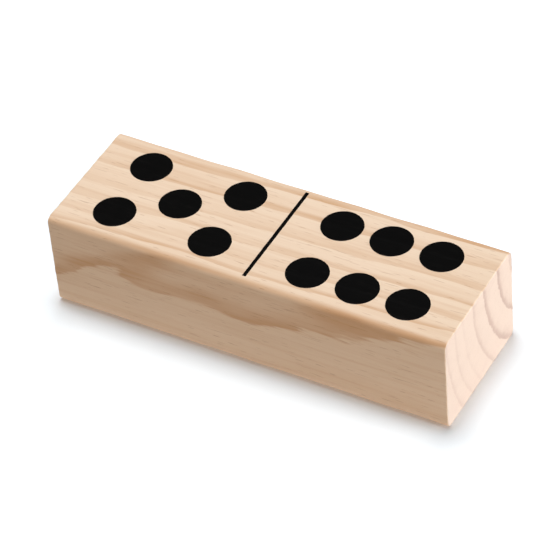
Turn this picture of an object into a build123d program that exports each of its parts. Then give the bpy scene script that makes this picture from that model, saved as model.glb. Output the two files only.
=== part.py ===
from build123d import *
import os

# A giant wooden domino tile that shows a five on one half and a six on the other.
# It is one block sawn from a planed pine stick, with eleven round pips and a dividing line
# printed on its upper face in black ink. No two patches of ink touch, so each is a solid of its own.
#
# Frame: the origin is the centre of the underside. +Z points up through the printed face,
# +X runs along the tile towards its six half, and -Y faces the front long side.
# All dimensions are in millimetres.

# The pine block. The stick's four long edges are rounded by the planer before it is sawn to length,
# and only the sharpness is sanded off the edges of the sawn ends.
TILE_LENGTH = 150.0
TILE_WIDTH = TILE_LENGTH / 3
TILE_THICKNESS = 38.0
LONG_EDGE_RADIUS = 2.5
END_EDGE_EASE = 0.4

# The ink. The columns of pips lie one, two and three pitches from the line, on either side of it,
# and the line spans the flat of the upper face, between the two rounded edges.
INK_THICKNESS = 0.1
PIP_DIAMETER = 15.0
PIP_PITCH_ALONG = 18.5
PIP_PITCH_ACROSS = TILE_WIDTH / 4
HALF_CENTRE = 2 * PIP_PITCH_ALONG
LINE_WIDTH = 1.4
LINE_LENGTH = TILE_WIDTH - 2 * LONG_EDGE_RADIUS

# Steps from the middle of a half: along the tile, from its end towards the line, and across it.
OUTER, MIDDLE, INNER = -1, 0, 1
FRONT, CENTRE, BACK = -1, 0, 1
COLUMN_NAMES = {OUTER: "outer", MIDDLE: "middle", INNER: "inner"}
ROW_NAMES = {FRONT: "front", BACK: "back"}

# Which way along X each half lies, and the steps at which it carries its pips.
FIVE_SIDE, SIX_SIDE = -1, 1
FIVE_PIPS = [(MIDDLE, CENTRE)] + [(column, row) for row in (FRONT, BACK) for column in (OUTER, INNER)]
SIX_PIPS = [(column, row) for row in (FRONT, BACK) for column in (OUTER, MIDDLE, INNER)]


def pine_block():
    """The wooden body: a rounded stick, cut square, with its end edges eased."""
    section = Plane.YZ * RectangleRounded(TILE_WIDTH, TILE_THICKNESS, LONG_EDGE_RADIUS)
    stick = Pos(0, 0, TILE_THICKNESS / 2) * extrude(section, TILE_LENGTH / 2, both=True)
    ends = stick.faces().filter_by(Axis.X)
    return chamfer(ends.edges(), END_EDGE_EASE)


def printed(outline, x=0.0, y=0.0):
    """A film of ink with the given outline, on the upper face at x, y."""
    return extrude(Pos(x, y, TILE_THICKNESS) * outline, INK_THICKNESS)


def pip(side, column, row):
    """One printed pip, at its step on the half that lies to one side of the line."""
    x = side * (HALF_CENTRE - column * PIP_PITCH_ALONG)
    return printed(Circle(PIP_DIAMETER / 2), x, row * PIP_PITCH_ACROSS)


def pip_name(half, column, row):
    """What a person would call a pip, such as six_pip_front_outer."""
    if row == CENTRE:
        return f"{half}_pip_centre"
    return f"{half}_pip_{ROW_NAMES[row]}_{COLUMN_NAMES[column]}"


def divider_line():
    """The printed line between the two halves."""
    return printed(Rectangle(LINE_WIDTH, LINE_LENGTH))


def domino_tile():
    """Every sub-part by name, in place."""
    parts = {"pine_block": pine_block(), "divider_line": divider_line()}
    for half, side, pips in (("five", FIVE_SIDE, FIVE_PIPS), ("six", SIX_SIDE, SIX_PIPS)):
        for column, row in pips:
            parts[pip_name(half, column, row)] = pip(side, column, row)
    return parts


os.makedirs("parts", exist_ok=True)
for name, shape in domino_tile().items():
    export_step(shape, f"parts/{name}.step")
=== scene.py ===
"""The look of a giant wooden domino tile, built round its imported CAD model.

Everything is in metres, in the CAD frame: X runs along the tile towards its six half, -Y faces the
front long side, Z points up, and the tile rests on the floor at Z = 0.

The wood is one solid pattern of growth rings round a pith that lies outside the stick. The mesh and the
material both read it, so a ring that crosses an edge carries on over the next face.
"""
import math

import bpy
import numpy as np
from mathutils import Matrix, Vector


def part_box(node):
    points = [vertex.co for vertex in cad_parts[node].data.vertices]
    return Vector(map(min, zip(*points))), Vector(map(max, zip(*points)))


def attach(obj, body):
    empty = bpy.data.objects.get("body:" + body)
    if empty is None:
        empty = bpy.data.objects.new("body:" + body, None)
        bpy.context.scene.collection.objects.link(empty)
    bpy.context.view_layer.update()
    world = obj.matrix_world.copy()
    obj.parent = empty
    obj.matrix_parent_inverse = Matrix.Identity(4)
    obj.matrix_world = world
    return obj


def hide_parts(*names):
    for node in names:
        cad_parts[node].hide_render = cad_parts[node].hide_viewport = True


MM = 0.001

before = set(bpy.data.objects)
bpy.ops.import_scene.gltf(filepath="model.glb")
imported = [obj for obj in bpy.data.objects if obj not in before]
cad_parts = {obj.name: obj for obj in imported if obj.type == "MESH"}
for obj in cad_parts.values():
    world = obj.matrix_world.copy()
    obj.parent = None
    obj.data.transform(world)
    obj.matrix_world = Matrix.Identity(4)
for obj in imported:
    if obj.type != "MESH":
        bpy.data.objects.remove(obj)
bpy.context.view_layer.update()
block_low, block_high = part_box("pine_block")
LENGTH, WIDTH, THICKNESS = block_high - block_low
MIDDLE = (block_low + block_high) / 2
TOP = block_high.z

# The stick's edges: the long ones are rounded by the planer, the sawn ones only lose their sharpness.
LONG_EDGE_RADIUS = 2.5 * MM
END_EDGE_RADIUS = 0.35 * MM

# The block's mesh: the steps along the stick are longer, because the grain changes slowly that way. A row of
# points lies just inside each end edge, at SUPPORT_ROW from it, so that the edge's shading stays narrow.
STEP_ALONG = 1.0 * MM
STEP_ACROSS = 0.4 * MM
END_EDGE_STEPS = 3
SUPPORT_ROW = 0.25 * MM

# The growth rings, in millimetres: where the pith runs, and how far from it each year's wood ends.
PITH_Y, PITH_Z = 48.0, 38.0
PITH_LEAN_Y, PITH_LEAN_Z = 0.032, 0.004
YEAR_ENDS = (0.0, 9.0, 18.0, 28.2, 37.5, 47.7, 55.7, 63.2, 69.0, 75.0, 87.0, 97.0, 107.0)

# A knot that lay just outside the front face pushes the rings outward, in millimetres. It runs straight up
# to KNOT_BEND, and leans along the stick from there on, by KNOT_LEAN for each millimetre that it climbs.
KNOT_X, KNOT_Y = -57.0, -30.0
KNOT_BEND, KNOT_LEAN = 22.0, 1.8
KNOT_PUSH = 2.0
KNOT_REACH_ALONG, KNOT_REACH_ACROSS = 13.0, 18.0

# Waves in the rings: height, then wavelength along X, Y and Z, all in millimetres, then a shift in radians.
RING_WAVES = (
    (0.35, 165.0, 140.0, 90.0, 2.8),
    (0.25, 88.0, -61.0, 75.0, 0.0),
    (0.20, 47.0, 38.0, -52.0, 4.9),
    (0.14, -31.0, 17.0, 23.0, 1.3),
    (0.07, 19.0, -8.5, 11.0, 5.2),
)

# The part of the year, from 0 to 1, over which the wood grows dense, and where the next spring breaks it off.
DENSE_START, DENSE_FULL = 0.55, 0.90
DENSE_BREAK = 0.94

# Relief, as heights above the ideal surface.
LATEWOOD_RISE = 0.05 * MM
END_LATEWOOD_RISE = 0.07 * MM
PLANER_UNDULATION = 0.03 * MM
EDGE_UNEVENNESS = 0.12 * MM
SAWN_EDGE_UNEVENNESS = 0.10 * MM

# The saw's arcs: their height, how far apart they lie, their centre, and how far they wobble, in radians.
SAW_MARK_HEIGHT = 0.02 * MM
SAW_MARK_PITCH = 1.6 * MM
SAW_CENTRE_Y, SAW_CENTRE_Z = -0.14, 0.11
SAW_WOBBLE = 2.0

# Ripples in the surface: how fast each turns along X, Y and Z, in radians per millimetre, and its shift.
PLANER_RIPPLES = ((1 / 23, 0.04, 0.0, 0.0), (0.017, 1 / 9, 1 / 7, math.pi / 2))
SAW_RIPPLES = ((0.0, 0.30, 0.0, 0.0), (0.0, 0.0, 0.23, 0.0))
EDGE_RIPPLES = ((1 / 6.1, 0.5, 0.0, 0.0), (1 / 3.7, 0.0, -0.3, 1.0))
TORN_RIPPLES = ((0.0, 1 / 0.83, 1 / 1.9, 0.0), (0.0, -1 / 2.3, 1 / 0.71, 2.0))

# The ink: how much of its thickness is left at the rim, how wide the rim is, and how deep it soaks in.
INK_RIM_SHARE = 0.3
INK_RIM_WIDTH = 0.35 * MM
INK_FOOT = 0.06 * MM

# How far the ink's outline wanders. On a pip that is most along the grain, and CREEP_ACROSS of it across.
INK_BLEED = 0.05 * MM
CREEP_ACROSS = 0.35

# The wander of a pip's rim: the bumps in each wave round it, and how much the wave shifts from pip to pip.
CREEP_WAVES = ((13, 1.0), (29, 2.3), (47, 3.1))
CREEP_SEED_X, CREEP_SEED_Y = 700.0, 1300.0

# The wander of the line's sides: how far along it each wave turns by one radian, and the wave's shift.
RAGGED_WAVES = ((0.90 * MM, 0.0), (0.37 * MM, 1.0), (2.30 * MM, 2.0))

# The ink's meshes.
PIP_SPOKES = 180
PIP_RINGS = 16
LINE_COLUMNS = 8
LINE_ROWS = 150


# ---------------------------------------------------------------- the wood as a solid

def ring_number(points):
    """The year in which each point of the wood grew, counted from the pith. The fraction is the season."""
    x, y, z = points.T / MM
    radius = np.hypot(y - PITH_Y - PITH_LEAN_Y * x, z - PITH_Z - PITH_LEAN_Z * x)
    for height, along_x, along_y, along_z, shift in RING_WAVES:
        radius = radius + height * np.sin(2 * np.pi * (x / along_x + y / along_y + z / along_z) + shift)
    knot_x = KNOT_X + KNOT_LEAN * np.maximum(z - KNOT_BEND, 0)
    from_knot = np.hypot((x - knot_x) / KNOT_REACH_ALONG, (y - KNOT_Y) / KNOT_REACH_ACROSS)
    radius = radius + KNOT_PUSH * np.exp(-from_knot ** 2)
    return np.interp(radius, YEAR_ENDS, np.arange(len(YEAR_ENDS)))


def smoothstep(value, low, high):
    """0 below low, 1 above high, and a smooth rise between them."""
    share = np.clip((value - low) / (high - low), 0, 1)
    return share * share * (3 - 2 * share)


def latewood(points):
    """How dense the wood is: it rises through each summer and drops where the next spring begins."""
    season = ring_number(points) % 1.0
    return smoothstep(season, DENSE_START, DENSE_FULL) * (1 - smoothstep(season, DENSE_BREAK, 1.0))


def ripples(points, waves):
    """The height of each wave, from -1 to 1, at each point."""
    return [np.sin(points @ np.array(rates) / MM + shift) for *rates, shift in waves]


def on_corner(normals):
    """How far each point lies on a rounded long edge: 0 on the flat faces, 1 in the middle of the round."""
    return (2 * normals[:, 1] * normals[:, 2]) ** 2


def relief(points, normals):
    """How far each point of the real surface lies above the ideal one, in metres."""
    dense = latewood(points) - 0.5
    along, across = ripples(points, PLANER_RIPPLES)
    side = LATEWOOD_RISE * dense + PLANER_UNDULATION * along * across

    from_saw = np.hypot(points[:, 1] - SAW_CENTRE_Y, points[:, 2] - SAW_CENTRE_Z)
    wobble = SAW_WOBBLE * sum(ripples(points, SAW_RIPPLES))
    scored = np.sin(2 * np.pi * from_saw / SAW_MARK_PITCH + wobble)
    end = END_LATEWOOD_RISE * dense + SAW_MARK_HEIGHT * scored

    on_end = np.abs(normals[:, 0]) ** 2
    on_sawn_edge = 4 * on_end * (1 - on_end)
    uneven = sum(ripples(points, EDGE_RIPPLES)) / 2 - 0.5
    torn = sum(ripples(points, TORN_RIPPLES)) / 2 - 0.5
    edges = EDGE_UNEVENNESS * on_corner(normals) * uneven + SAWN_EDGE_UNEVENNESS * on_sawn_edge * torn
    return side * (1 - on_end) + end * on_end + edges


# ---------------------------------------------------------------- meshes

def new_piece(name, points, faces, node, material):
    """A smooth mesh object that stands for a CAD node and rides on the tile's one body."""
    mesh = bpy.data.meshes.new(name)
    mesh.from_pydata(points.tolist(), [], faces)
    mesh.polygons.foreach_set("use_smooth", [True] * len(mesh.polygons))
    mesh.materials.append(material)
    mesh.update()
    piece = bpy.data.objects.new(name, mesh)
    bpy.context.scene.collection.objects.link(piece)
    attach(piece, "root")
    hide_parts(node)
    return piece


def store(piece, name, values):
    """Keeps one number per vertex on the mesh, for the material to read."""
    attribute = piece.data.attributes.new(name, "FLOAT", "POINT")
    attribute.data.foreach_set("value", values.astype(np.float32))


def grid_faces(index):
    """The four-sided faces of a grid, one row for each, from the vertex number at every place in the grid."""
    corners = (index[:-1, :-1], index[:-1, 1:], index[1:, 1:], index[1:, :-1])
    return np.stack([corner.ravel() for corner in corners], axis=1)


def rounded_grid(half_width, half_height, radius, columns, rows):
    """A grid of points over a rectangle with round corners: arrays of Y and Z, one row per height."""
    y, z = np.meshgrid(
        np.linspace(-half_width, half_width, columns + 1),
        np.linspace(-half_height, half_height, rows + 1),
    )
    beyond_y = np.clip(np.abs(y) - (half_width - radius), 0, None)
    beyond_z = np.clip(np.abs(z) - (half_height - radius), 0, None)
    reach = np.hypot(beyond_y, beyond_z)
    pull = np.divide(np.maximum(beyond_y, beyond_z), reach, out=np.ones_like(reach), where=reach > 0)
    y = np.sign(y) * (np.abs(y) - beyond_y * (1 - pull))
    z = np.sign(z) * (np.abs(z) - beyond_z * (1 - pull))
    return y, z


def rim_order(columns, rows):
    """The grid's rim cells, anticlockwise as seen from +X, as a list of (row, column)."""
    bottom = [(0, column) for column in range(columns)]
    right = [(row, columns) for row in range(rows)]
    top = [(rows, column) for column in range(columns, 0, -1)]
    left = [(row, 0) for row in range(rows, 0, -1)]
    return bottom + right + top + left


def block_stations():
    """The rings of points along the stick, end to end: x, and how far the end edge has turned there."""
    half = LENGTH / 2
    turned = [math.pi / 2 * (1 - step / END_EDGE_STEPS) for step in range(END_EDGE_STEPS + 1)]
    edge = [(half - END_EDGE_RADIUS * (1 - math.sin(turn)), turn) for turn in turned]
    inner = half - END_EDGE_RADIUS - SUPPORT_ROW
    count = round(2 * inner / STEP_ALONG)
    shaft = [(x, 0.0) for x in np.linspace(-inner, inner, count + 1)]
    left = [(-x, -turn) for x, turn in edge]
    right = [(x, turn) for x, turn in reversed(edge)]
    return left + shaft + right


def block_surface():
    """The ideal block: its points, their outward normals and its faces."""
    half_width = WIDTH / 2 - END_EDGE_RADIUS
    half_height = THICKNESS / 2 - END_EDGE_RADIUS
    radius = LONG_EDGE_RADIUS - END_EDGE_RADIUS
    columns = round(WIDTH / STEP_ACROSS)
    rows = round(THICKNESS / STEP_ACROSS)
    grid_y, grid_z = rounded_grid(half_width, half_height, radius, columns, rows)

    rim = rim_order(columns, rows)
    rim_y = np.array([grid_y[cell] for cell in rim])
    rim_z = np.array([grid_z[cell] for cell in rim])
    out_y = rim_y - np.clip(rim_y, radius - half_width, half_width - radius)
    out_z = rim_z - np.clip(rim_z, radius - half_height, half_height - radius)
    out_y, out_z = out_y / np.hypot(out_y, out_z), out_z / np.hypot(out_y, out_z)

    points, normals = [], []
    stations = block_stations()
    for x, turn in stations:
        spread = END_EDGE_RADIUS * math.cos(turn)
        along = np.full(len(rim), x)
        facing = np.full(len(rim), math.sin(turn))
        points.append(np.column_stack([along, rim_y + out_y * spread, rim_z + out_z * spread]))
        normals.append(np.column_stack([facing, out_y * math.cos(turn), out_z * math.cos(turn)]))
    faces = []
    for ring in range(len(stations) - 1):
        here, there = ring * len(rim), (ring + 1) * len(rim)
        for spot in range(len(rim)):
            after = (spot + 1) % len(rim)
            faces.append((here + spot, here + after, there + after, there + spot))

    inside_y = grid_y[1:-1, 1:-1].ravel()
    inside_z = grid_z[1:-1, 1:-1].ravel()
    for side, first_rim in ((-1, 0), (1, (len(stations) - 1) * len(rim))):
        start = len(stations) * len(rim) + (0 if side < 0 else len(inside_y))
        index = np.empty((rows + 1, columns + 1), int)
        index[1:-1, 1:-1] = start + np.arange(len(inside_y)).reshape(rows - 1, columns - 1)
        for spot, cell in enumerate(rim):
            index[cell] = first_rim + spot
        points.append(np.column_stack([np.full(len(inside_y), side * LENGTH / 2), inside_y, inside_z]))
        normals.append(np.tile([float(side), 0.0, 0.0], (len(inside_y), 1)))
        quads = grid_faces(index)
        faces += (quads if side > 0 else quads[:, ::-1]).tolist()

    points = np.vstack(points) + np.array(MIDDLE)
    return points, np.vstack(normals), faces


def make_block(material):
    """The pine block, with relief from its grain, the planer and the saw."""
    points, normals, faces = block_surface()
    real = points + normals * relief(points, normals)[:, None]
    block = new_piece("pine_block_wood", real, faces, "pine_block", material)
    store(block, "ring", ring_number(points))
    # The material reads this to paint shade on the rounded long edges.
    store(block, "corner", on_corner(normals))


def on_top(x, y, height):
    """Points at a height above the block's real upper surface, from arrays of X and Y of any shape."""
    points = np.column_stack([x.ravel(), y.ravel(), np.full(x.size, TOP)])
    up = np.tile([0.0, 0.0, 1.0], (x.size, 1))
    points[:, 2] += relief(points, up) + np.ravel(height)
    return points


def ink_height(from_rim, thickness):
    """The thickness of a film of ink: thin at its rim, full a little way in."""
    return thickness * (INK_RIM_SHARE + (1 - INK_RIM_SHARE) * smoothstep(from_rim, 0, INK_RIM_WIDTH))


def pip_faces(count):
    """A pip's faces. Its vertices are the top's rings of spokes, the foot's, the top's hub and the foot's."""
    top_hub, foot_hub = 2 * count, 2 * count + 1
    last = (PIP_RINGS - 1) * PIP_SPOKES
    faces = []
    for spoke in range(PIP_SPOKES):
        after = (spoke + 1) % PIP_SPOKES
        faces.append((top_hub, spoke, after))
        faces.append((foot_hub, count + after, count + spoke))
        for ring in range(PIP_RINGS - 1):
            here, there = ring * PIP_SPOKES, (ring + 1) * PIP_SPOKES
            quad = (here + spoke, there + spoke, there + after, here + after)
            faces.append(quad)
            faces.append(tuple(count + corner for corner in reversed(quad)))
        faces.append((last + spoke, count + last + spoke, count + last + after, last + after))
    return faces


def make_pip(node, material):
    """One pip: a round patch of ink whose rim creeps a little along the grain."""
    low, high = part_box(node)
    centre = (low + high) / 2
    radius = (high.x - low.x) / 2
    angle = np.linspace(0, 2 * np.pi, PIP_SPOKES, endpoint=False)
    seed = CREEP_SEED_X * centre.x + CREEP_SEED_Y * centre.y
    creep = sum(np.sin(bumps * angle + shift * seed) for bumps, shift in CREEP_WAVES) / len(CREEP_WAVES)
    along_grain = CREEP_ACROSS + (1 - CREEP_ACROSS) * np.abs(np.cos(angle))
    rim = radius - INK_BLEED + INK_BLEED * creep * along_grain
    share = np.sin(np.linspace(0, np.pi / 2, PIP_RINGS + 1))[1:]
    out, turn = np.meshgrid(share, angle, indexing="ij")
    x = centre.x + out * rim * np.cos(turn)
    y = centre.y + out * rim * np.sin(turn)
    thickness = high.z - low.z
    height = ink_height(rim * (1 - out), thickness)

    hub_x, hub_y = np.array([centre.x]), np.array([centre.y])
    points = np.vstack([
        on_top(x, y, height),
        on_top(x, y, -INK_FOOT),
        on_top(hub_x, hub_y, thickness),
        on_top(hub_x, hub_y, -INK_FOOT),
    ])
    pip = new_piece(node + "_ink", points, pip_faces(x.size), node, material)


def make_line(node, material):
    """The dividing line: a thin strip of ink with slightly ragged sides."""
    low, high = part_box(node)
    centre = (low + high) / 2
    half_width = (high.x - low.x) / 2
    along = np.linspace(low.y, high.y, LINE_ROWS + 1)
    across = np.sin(np.linspace(-np.pi / 2, np.pi / 2, LINE_COLUMNS + 1))
    ragged = sum(np.sin(along / length + shift) for length, shift in RAGGED_WAVES) / len(RAGGED_WAVES)
    half = half_width - INK_BLEED * (1 + ragged) / 2
    share, place = np.meshgrid(across, along)
    x = centre.x + share * half[:, None]
    from_side = (1 - np.abs(share)) * half[:, None]
    from_end = half_width + np.minimum(place - low.y, high.y - place)
    height = ink_height(np.minimum(from_side, from_end), high.z - low.z)

    count = x.size
    points = np.vstack([on_top(x, place, height), on_top(x, place, -INK_FOOT)])
    index = np.arange(count).reshape(LINE_ROWS + 1, LINE_COLUMNS + 1)
    quads = grid_faces(index)
    loop = np.concatenate([index[0, :-1], index[:-1, -1], index[-1, :0:-1], index[:0:-1, 0]])
    after = np.roll(loop, -1)
    wall = np.stack([loop, count + loop, count + after, after], axis=1)
    faces = quads.tolist() + (count + quads[:, ::-1]).tolist() + wall.tolist()
    line = new_piece(node + "_ink", points, faces, node, material)


# ---------------------------------------------------------------- materials

def srgb(colour):
    """A colour as it looks on screen, out of 255, turned into the linear values that a material takes."""
    linear = [((c / 255 + 0.055) / 1.055) ** 2.4 if c > 10 else c / 255 / 12.92 for c in colour]
    return (*linear, 1.0)


class Shader:
    """A material's node tree, with a short method for each kind of node that the materials here use."""

    def __init__(self, name):
        self.material = bpy.data.materials.new(name)
        self.material.use_nodes = True
        self.tree = self.material.node_tree
        self.surface = self.tree.nodes["Principled BSDF"]

    def add(self, kind, **settings):
        node = self.tree.nodes.new(kind)
        for name, value in settings.items():
            setattr(node, name, value)
        return node

    def feed(self, socket, value):
        """Joins an output to a socket, or sets the socket to a plain value."""
        if isinstance(value, bpy.types.NodeSocket):
            self.tree.links.new(value, socket)
        else:
            socket.default_value = value

    def complete(self, **inputs):
        """Feeds the surface, with _ for each space in the name of an input, and gives the material."""
        for name, value in inputs.items():
            self.feed(self.surface.inputs[name.replace("_", " ")], value)
        return self.material

    def math(self, operation, *values):
        node = self.add("ShaderNodeMath", operation=operation)
        for socket, value in zip(node.inputs, values):
            self.feed(socket, value)
        return node.outputs[0]

    def product(self, first, *others):
        """Everything given, multiplied together."""
        for other in others:
            first = self.math("MULTIPLY", first, other)
        return first

    def total(self, first, *others):
        """Everything given, added up."""
        for other in others:
            first = self.math("ADD", first, other)
        return first

    def swing(self, noise, amount):
        """Noise from 0 to 1, turned into a swing of half the amount to either side of 0."""
        return self.product(self.math("SUBTRACT", noise, 0.5), amount)

    def vector(self, operation, *values):
        node = self.add("ShaderNodeVectorMath", operation=operation)
        for socket, value in zip(node.inputs, values):
            self.feed(socket, value)
        return node.outputs["Value" if operation == "LENGTH" else "Vector"]

    def split(self, vector):
        """A vector's parts, by the names X, Y and Z."""
        node = self.add("ShaderNodeSeparateXYZ")
        self.feed(node.inputs[0], vector)
        return node.outputs

    def place(self):
        """The point being shaded, in millimetres in the CAD frame."""
        return self.vector("MULTIPLY", self.add("ShaderNodeTexCoord").outputs["Object"], (1 / MM,) * 3)

    def noise(self, place, grain, detail=2.0, roughness=0.5):
        """Smooth noise from 0 to 1, with grain the size of its features along X, Y and Z in millimetres."""
        node = self.add("ShaderNodeTexNoise")
        self.feed(node.inputs["Vector"], self.vector("DIVIDE", place, grain))
        self.feed(node.inputs["Scale"], 1.0)
        self.feed(node.inputs["Detail"], detail)
        self.feed(node.inputs["Roughness"], roughness)
        return node.outputs["Fac"]

    def spread(self, value, low, high, start=0.0, end=1.0):
        """Start below low, end above high, and a smooth change between them."""
        node = self.add("ShaderNodeMapRange", interpolation_type="SMOOTHSTEP")
        for socket, given in zip(node.inputs, (value, low, high, start, end)):
            self.feed(socket, given)
        return node.outputs["Result"]

    def blend(self, share, first, second, mode="MIX"):
        node = self.add("ShaderNodeMix", data_type="RGBA", blend_type=mode)
        colours = [socket for socket in node.inputs if socket.type == "RGBA"]
        self.feed(node.inputs["Factor"], share)
        self.feed(colours[0], first)
        self.feed(colours[1], second)
        return next(socket for socket in node.outputs if socket.type == "RGBA")

    def steps(self, value, heights):
        """The height listed for each whole step of a value that starts at 0."""
        node = self.add("ShaderNodeValToRGB")
        ramp = node.color_ramp
        ramp.interpolation = "CONSTANT"
        ramp.elements.remove(ramp.elements[1])
        for step, height in enumerate(heights):
            stop = ramp.elements.new(step / len(heights)) if step else ramp.elements[0]
            stop.color = (height, height, height, 1.0)
        self.feed(node.inputs["Fac"], self.math("DIVIDE", value, float(len(heights))))
        return node.outputs["Color"]

    def attribute(self, name):
        return self.add("ShaderNodeAttribute", attribute_name=name).outputs["Fac"]

    def bump(self, height, distance):
        node = self.add("ShaderNodeBump")
        self.feed(node.inputs["Height"], height)
        self.feed(node.inputs["Distance"], distance)
        return node.outputs["Normal"]


# The wood's colours on screen: spring and summer wood on the planed sides, then on the sawn ends.
SIDE_PALE, SIDE_DARK = (241, 217, 192), (211, 168, 127)
END_PALE, END_DARK = (226, 208, 195), (178, 149, 140)
RESIN = (168, 118, 74)
# Painted shade on the rounded long edges: a warmer, darker tint where the top turns into the sides.
ROUNDED_EDGE_SHADE = (245, 226, 204)

# The outermost years are paler, which makes the wood lighter towards the bottom of the front face.
# The paleness starts at the first of these and is full from the second.
PALE_YEARS_START, PALE_YEARS_FULL = 8.97, 9.5
OUTER_YEARS_PALER = (1.07, 1.09, 1.11, 1.0)

# How strongly each year's rings are coloured, on the planed sides and on the sawn ends.
SIDE_STRENGTHS = (0.5, 0.5, 1.0, 0.95, 0.6, 0.6, 0.4, 0.75, 1.0, 0.4, 0.5, 0.5)
END_STRENGTHS = (0.5, 0.5, 0.6, 1.0, 0.95, 0.7, 0.35, 0.45, 0.55, 0.35, 0.4, 0.4)

# The part of the year in which the summer colour comes, and where the next spring breaks it off.
SIDE_SUMMER_START, END_SUMMER_START = 0.58, 0.72
SUMMER_FULL = 0.93
SUMMER_BREAK = 0.965

# The part of the year over which the wood slowly darkens as a whole.
SIDE_SEASON = (0.05, 0.75)
END_SEASON = (0.35, 0.95)

# A calm stretch of the upper face where the rings show less: its middle and reach, in millimetres, then
# the shares of that reach between which it fades out, and how strong the rings are inside and outside.
CALM_CENTRE = (-60.0, 2.0, 38.0)
CALM_REACH = (85.0, 24.0, 30.0)
CALM_EDGE = (0.4, 1.2)
CALM_STRENGTHS = (0.45, 1.0)

# The size of the wood's features along X, Y and Z, in millimetres.
RAGGED_SIZE = (14.0, 1.6, 1.6)
PATCH_SIZE = (55.0, 7.0, 7.0)
STREAK_SIZE = (60.0, 1.7, 1.7)
CLOUD_SIZE = (70.0, 9.0, 9.0)
END_CLOUD_SIZE = (30.0, 6.0, 6.0)
FIBRE_SIZE = (9.0, 0.32, 0.32)
PORE_SIZE = (3.0, 0.28, 0.28)
RESIN_SIZE = (5.0, 0.35, 0.35)
INK_CLOUD_SIZE = (4.0, 2.5, 2.5)

# The stretch of each noise, which runs from 0 to 1, over which its feature comes in.
PATCH_EDGE = (0.3, 0.7)
STREAK_EDGE = (0.42, 0.75)
RESIN_EDGE = (0.74, 0.80)

# How strong the rings are where patches of them fade and where they stand out.
PATCH_STRENGTHS = (0.45, 1.1)

# How raggedly the rings run, in years.
RAGGEDNESS = 0.16

# How finely the wood's rays fan out from the pith on the sawn ends, and how often they break off each year.
RAYS_PER_RADIAN = 110.0
RAYS_PER_YEAR = 1.3

# How far each feature takes the colour from pale to dark, on the planed sides and on the sawn ends.
SIDE_SUMMERS, SIDE_SEASONS, SIDE_STREAKS, SIDE_CLOUDS, SIDE_FIBRES = 0.68, 0.15, 0.24, 0.45, 0.18
END_SUMMERS, END_SEASONS, END_RAYS, END_CLOUDS, END_PORES = 0.42, 0.18, 0.22, 0.30, 0.18
RESIN_SHARE = 0.35
# How strongly the painted shade darkens the rounded long edges.
ROUNDED_EDGE_SHADE_SHARE = 0.7

# How far a face has to point along X to count as sawn.
SAWN_EDGE = (0.5, 0.9)

# The wood's sheen: its roughness in spring, the season over which it turns smoother, and by how much, and
# what the fibres and the saw add to it.
WOOD_ROUGHNESS = 0.66
SMOOTH_SEASON = (0.5, 0.93)
SUMMER_SMOOTHER, FIBRE_ROUGHER, SAW_ROUGHER = 0.1, 0.12, 0.12
WOOD_SHINE = 0.35
WOOD_BUMP = 0.03 * MM

# The ink: its colour on screen where it is thick, and where it is thin over proud fibres in some patches.
INK_THICK, INK_THIN = (2, 2, 2), (20, 18, 17)
INK_FIBRE_EDGE = (0.52, 0.75)
INK_CLOUD_EDGE = (0.35, 0.7)
INK_SHEEN_EDGE = (0.2, 0.8)
INK_ROUGHNESS = (0.52, 0.68)
INK_SHINE = 0.05
INK_BUMP = 0.02 * MM


def grown_in(s, place):
    """The year each point grew in, with the rings a little ragged."""
    ragged = s.noise(place, RAGGED_SIZE, detail=3.0)
    return s.total(s.attribute("ring"), s.swing(ragged, RAGGEDNESS))


def summer_colour(s, season, start):
    """How far the wood has its summer colour: it rises from start and drops where the next spring begins."""
    return s.product(s.spread(season, start, SUMMER_FULL), s.spread(season, SUMMER_BREAK, 1.0, 1.0, 0.0))


def wood_fibres(s, place):
    """The fine fibres, which the wood and the ink on it share."""
    return s.noise(place, FIBRE_SIZE, detail=2.0, roughness=0.6)


def side_grain(s, place, year, fibres):
    """The colour of wood cut along the grain: cream, with honey summers, soft streaks and fine fibres."""
    season = s.math("FRACT", year)
    summer = summer_colour(s, season, SIDE_SUMMER_START)
    strong = s.steps(year, SIDE_STRENGTHS)
    patchy = s.spread(s.noise(place, PATCH_SIZE), *PATCH_EDGE, *PATCH_STRENGTHS)
    from_calm = s.vector("DIVIDE", s.vector("SUBTRACT", place, CALM_CENTRE), CALM_REACH)
    lively = s.spread(s.vector("LENGTH", from_calm), *CALM_EDGE, *CALM_STRENGTHS)
    streaks = s.noise(place, STREAK_SIZE, detail=3.0, roughness=0.6)
    clouds = s.noise(place, CLOUD_SIZE, detail=3.0, roughness=0.55)
    tone = s.total(
        s.product(summer, strong, patchy, lively, SIDE_SUMMERS),
        s.product(s.spread(season, *SIDE_SEASON), SIDE_SEASONS),
        s.spread(streaks, *STREAK_EDGE, 0.0, SIDE_STREAKS),
        s.swing(clouds, SIDE_CLOUDS),
        s.swing(fibres, SIDE_FIBRES),
    )
    colour = s.blend(tone, srgb(SIDE_PALE), srgb(SIDE_DARK))
    return s.blend(s.spread(year, PALE_YEARS_START, PALE_YEARS_FULL), colour, OUTER_YEARS_PALER, "MULTIPLY")


def wood_rays(s, place):
    """The rays, which fan out from the pith across the sawn ends."""
    axes = s.split(place)
    turn = s.math("ARCTAN2", s.math("SUBTRACT", axes["Z"], PITH_Z), s.math("SUBTRACT", axes["Y"], PITH_Y))
    fan = s.add("ShaderNodeCombineXYZ")
    s.feed(fan.inputs["X"], s.product(turn, RAYS_PER_RADIAN))
    s.feed(fan.inputs["Y"], s.product(s.attribute("ring"), RAYS_PER_YEAR))
    return s.noise(fan.outputs[0], (1.0, 1.0, 1.0), detail=1.0)


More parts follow.
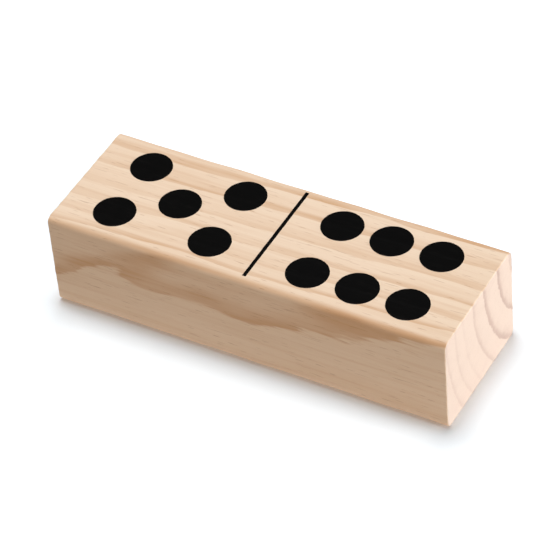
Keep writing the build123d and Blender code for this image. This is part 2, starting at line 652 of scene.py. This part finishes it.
def end_grain(s, place, year):
    """The colour of sawn end grain, which is a duller pink with mauve rings and rays; and its pores."""
    season = s.math("FRACT", year)
    strong = s.steps(year, END_STRENGTHS)
    pores = s.noise(place, PORE_SIZE, detail=1.0)
    clouds = s.noise(place, END_CLOUD_SIZE, detail=2.0)
    tone = s.total(
        s.product(summer_colour(s, season, END_SUMMER_START), s.math("POWER", strong, 2.0), END_SUMMERS),
        s.swing(clouds, END_CLOUDS),
        s.product(s.spread(season, *END_SEASON), strong, END_SEASONS),
        s.swing(wood_rays(s, place), END_RAYS),
        s.swing(pores, END_PORES),
    )
    return s.blend(tone, srgb(END_PALE), srgb(END_DARK)), pores


def pine():
    """Planed and sanded bare pine, with growth rings, streaks, fibres, resin flecks, sawn end grain, and
    painted shade on the rounded long edges.
    """
    s = Shader("pine")
    place = s.place()
    facing = s.split(s.add("ShaderNodeTexCoord").outputs["Normal"])
    on_end = s.spread(s.math("ABSOLUTE", facing["X"]), *SAWN_EDGE)

    year = grown_in(s, place)
    fibres = wood_fibres(s, place)
    end_colour, pores = end_grain(s, place, year)
    colour = s.blend(on_end, side_grain(s, place, year, fibres), end_colour)
    flecks = s.spread(s.noise(place, RESIN_SIZE, detail=0.0), *RESIN_EDGE)
    colour = s.blend(s.product(flecks, RESIN_SHARE), colour, srgb(RESIN))
    # Painted shade: the rounded long edges are tinted darker and warmer.
    warm = s.product(s.attribute("corner"), ROUNDED_EDGE_SHADE_SHARE)
    colour = s.blend(warm, colour, srgb(ROUNDED_EDGE_SHADE), "MULTIPLY")

    summer = s.spread(s.math("FRACT", year), *SMOOTH_SEASON)
    rough = s.total(
        s.math("SUBTRACT", WOOD_ROUGHNESS, s.product(summer, SUMMER_SMOOTHER)),
        s.swing(fibres, FIBRE_ROUGHER),
        s.product(on_end, SAW_ROUGHER),
    )
    height = s.total(fibres, s.product(pores, on_end))
    return s.complete(
        Base_Color=colour,
        Roughness=rough,
        Specular_IOR_Level=WOOD_SHINE,
        Normal=s.bump(height, WOOD_BUMP),
    )


def black_ink():
    """Printed black ink: satin, not quite even, with the wood's fibres showing faintly through."""
    s = Shader("black_ink")
    place = s.place()
    fibres = wood_fibres(s, place)
    clouds = s.noise(place, INK_CLOUD_SIZE, detail=2.0)
    thin = s.product(s.spread(fibres, *INK_FIBRE_EDGE), s.spread(clouds, *INK_CLOUD_EDGE))
    return s.complete(
        Base_Color=s.blend(thin, srgb(INK_THICK), srgb(INK_THIN)),
        Roughness=s.spread(fibres, *INK_SHEEN_EDGE, *INK_ROUGHNESS),
        Specular_IOR_Level=INK_SHINE,
        Normal=s.bump(fibres, INK_BUMP),
    )


# ---------------------------------------------------------------- the studio

# The floor, which lies a hair below the block, and its colour: as the camera sees it, and as it tints the
# light that bounces off it.
FLOOR_GAP = 0.1 * MM
FLOOR_SIZE = 12.0
FLOOR_COLOUR = (0.92, 0.94, 0.965, 1.0)
FLOOR_BOUNCE = (0.62, 0.56, 0.50, 1.0)
FLOOR_ROUGHNESS = 0.9

# The floor's own glow, as the camera sees it: at the block, a few millimetres off, and far away. It depends
# on the distance from the block in X and Y, in millimetres, and heights up to ANY_HEIGHT don't count. The
# glow is weakest at the block and bluish, so it paints the soft, cool edge of the contact shadow.
CONTACT_GLOW, NEAR_GLOW, FAR_GLOW = 0.05, 0.165, 1.8
NEAR_REACH, FAR_REACH = 5.0, 256.0
ANY_HEIGHT = 1000.0
GLOW_COLOUR = (0.60, 0.85, 1.0, 1.0)

# A glow from the floor round the foot of the block, which the camera doesn't see: painted light on the foot,
# standing in for light that the floor throws back up.
FOOT_LIGHT = 0.33
FOOT_REACH = 11.0
FOOT_COLOUR = (1.0, 0.95, 0.90, 1.0)

# The room: white where the camera looks past the floor, and dim and warm for everything else.
ROOM_WHITE, ROOM_WHITE_STRENGTH = (1.0, 1.0, 1.0, 1.0), 1.2
ROOM_LIGHT, ROOM_LIGHT_STRENGTH = (1.0, 0.93, 0.86, 1.0), 0.085

# The view: a long lens a metre off, above the tile's front right corner, and turned a little.
VIEW_AZIMUTH = math.radians(31.98)
VIEW_ELEVATION = math.radians(42.96)
VIEW_ROLL = math.radians(-5.34)
VIEW_DISTANCE = 1.0374
VIEW_LENS = 197.5
VIEW_AIM = Vector((1.1 * MM, -2.0 * MM, 0.0))

# The colours of the softboxes.
NEUTRAL = (1.0, 1.0, 1.0)
WARM = (1.0, 0.88, 0.78)


def direction(azimuth, elevation):
    """The way from the tile to a viewer or a light. Azimuth 0 is the front, and 90 degrees is +X."""
    return Vector((
        math.sin(azimuth) * math.cos(elevation),
        -math.cos(azimuth) * math.cos(elevation),
        math.sin(elevation),
    ))


def beyond_block(s):
    """How far the point being shaded lies outside the block's footprint, in millimetres, at any height."""
    outside = s.vector("ABSOLUTE", s.vector("SUBTRACT", s.place(), tuple(MIDDLE / MM)))
    outside = s.vector("SUBTRACT", outside, (LENGTH / 2 / MM, WIDTH / 2 / MM, ANY_HEIGHT))
    outside = s.vector("MAXIMUM", outside, (0.0, 0.0, 0.0))
    return s.vector("LENGTH", outside)


def floor_material():
    """Glowing past white where the camera sees it, least at the block, as a painted soft edge to the contact
    shadow; duller for the light that bounces off it, with an unseen glow round the block's foot as painted
    light on it.
    """
    s = Shader("floor")
    seen = s.add("ShaderNodeLightPath").outputs["Is Camera Ray"]
    away = beyond_block(s)
    near = s.spread(away, 0.0, NEAR_REACH, CONTACT_GLOW, NEAR_GLOW)
    far = s.spread(away, 0.0, FAR_REACH, 0.0, FAR_GLOW)
    foot = s.spread(away, 0.0, FOOT_REACH, FOOT_LIGHT, 0.0)
    unseen = s.math("SUBTRACT", 1.0, seen)
    return s.complete(
        Base_Color=s.blend(seen, FLOOR_BOUNCE, FLOOR_COLOUR),
        Roughness=FLOOR_ROUGHNESS,
        Specular_IOR_Level=0.0,
        Emission_Color=s.blend(seen, FOOT_COLOUR, GLOW_COLOUR),
        Emission_Strength=s.total(s.product(seen, s.total(near, far)), s.product(unseen, foot)),
    )


def make_floor():
    """A pale floor on which only the contact shadow is left."""
    half = FLOOR_SIZE / 2
    corners = [(x * half, y * half, -FLOOR_GAP) for x, y in ((-1, -1), (1, -1), (1, 1), (-1, 1))]
    mesh = bpy.data.meshes.new("floor")
    mesh.from_pydata(corners, [], [(0, 1, 2, 3)])
    mesh.materials.append(floor_material())
    floor = bpy.data.objects.new("floor", mesh)
    bpy.context.scene.collection.objects.link(floor)


def make_room():
    """The world round the floor."""
    world = bpy.data.worlds.new("room")
    world.use_nodes = True
    tree = world.node_tree
    glow = tree.nodes["Background"]
    glow.inputs["Color"].default_value = ROOM_LIGHT
    glow.inputs["Strength"].default_value = ROOM_LIGHT_STRENGTH
    white = tree.nodes.new("ShaderNodeBackground")
    white.inputs["Color"].default_value = ROOM_WHITE
    white.inputs["Strength"].default_value = ROOM_WHITE_STRENGTH
    path = tree.nodes.new("ShaderNodeLightPath")
    choice = tree.nodes.new("ShaderNodeMixShader")
    tree.links.new(path.outputs["Is Camera Ray"], choice.inputs[0])
    tree.links.new(glow.outputs[0], choice.inputs[1])
    tree.links.new(white.outputs[0], choice.inputs[2])
    tree.links.new(choice.outputs[0], tree.nodes["World Output"].inputs["Surface"])
    bpy.context.scene.world = world


def softbox(name, colour, power, azimuth, elevation, distance, width, height):
    """A soft light that faces the tile: its power in watts, its angles in degrees and the rest in metres."""
    light = bpy.data.lights.new(name, "AREA")
    light.shape = "RECTANGLE"
    light.size = width
    light.size_y = height
    light.energy = power
    light.color = colour
    lamp = bpy.data.objects.new(name, light)
    towards = direction(math.radians(azimuth), math.radians(elevation))
    lamp.location = MIDDLE + towards * distance
    lamp.rotation_mode = "QUATERNION"
    lamp.rotation_quaternion = towards.to_track_quat("Z", "Y")
    bpy.context.scene.collection.objects.link(lamp)


def make_lights():
    """A large light overhead, a low one at the sawn end, and two warm fills."""
    softbox("right_softbox", NEUTRAL, 3.72, azimuth=98, elevation=6, distance=0.7, width=0.45, height=0.15)
    softbox("front_fill", WARM, 1.15, azimuth=24, elevation=9, distance=0.8, width=0.6, height=0.24)
    softbox("left_fill", WARM, 1.5, azimuth=255, elevation=14, distance=1.2, width=0.6, height=0.3)
    softbox("top_softbox", NEUTRAL, 12.5, azimuth=226, elevation=81, distance=1.2, width=0.55, height=0.55)


def make_camera():
    """The camera, looking at the tile's middle."""
    camera = bpy.data.objects.new("camera", bpy.data.cameras.new("camera"))
    camera.data.lens = VIEW_LENS
    back = direction(VIEW_AZIMUTH, VIEW_ELEVATION)
    camera.location = MIDDLE + VIEW_AIM + back * VIEW_DISTANCE
    upright = back.to_track_quat("Z", "Y").to_matrix()
    right, up = upright.col[0], upright.col[1]
    turned_right = right * math.cos(VIEW_ROLL) + up * math.sin(VIEW_ROLL)
    turned_up = up * math.cos(VIEW_ROLL) - right * math.sin(VIEW_ROLL)
    upright.col[0], upright.col[1] = turned_right, turned_up
    camera.rotation_mode = "QUATERNION"
    camera.rotation_quaternion = upright.to_quaternion()
    bpy.context.scene.collection.objects.link(camera)
    bpy.context.scene.camera = camera


make_block(pine())
ink = black_ink()
make_line("divider_line", ink)
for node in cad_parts:
    if "_pip_" in node:
        make_pip(node, ink)

make_floor()
make_room()
make_lights()
make_camera()
bpy.context.scene.view_settings.view_transform = "Standard"
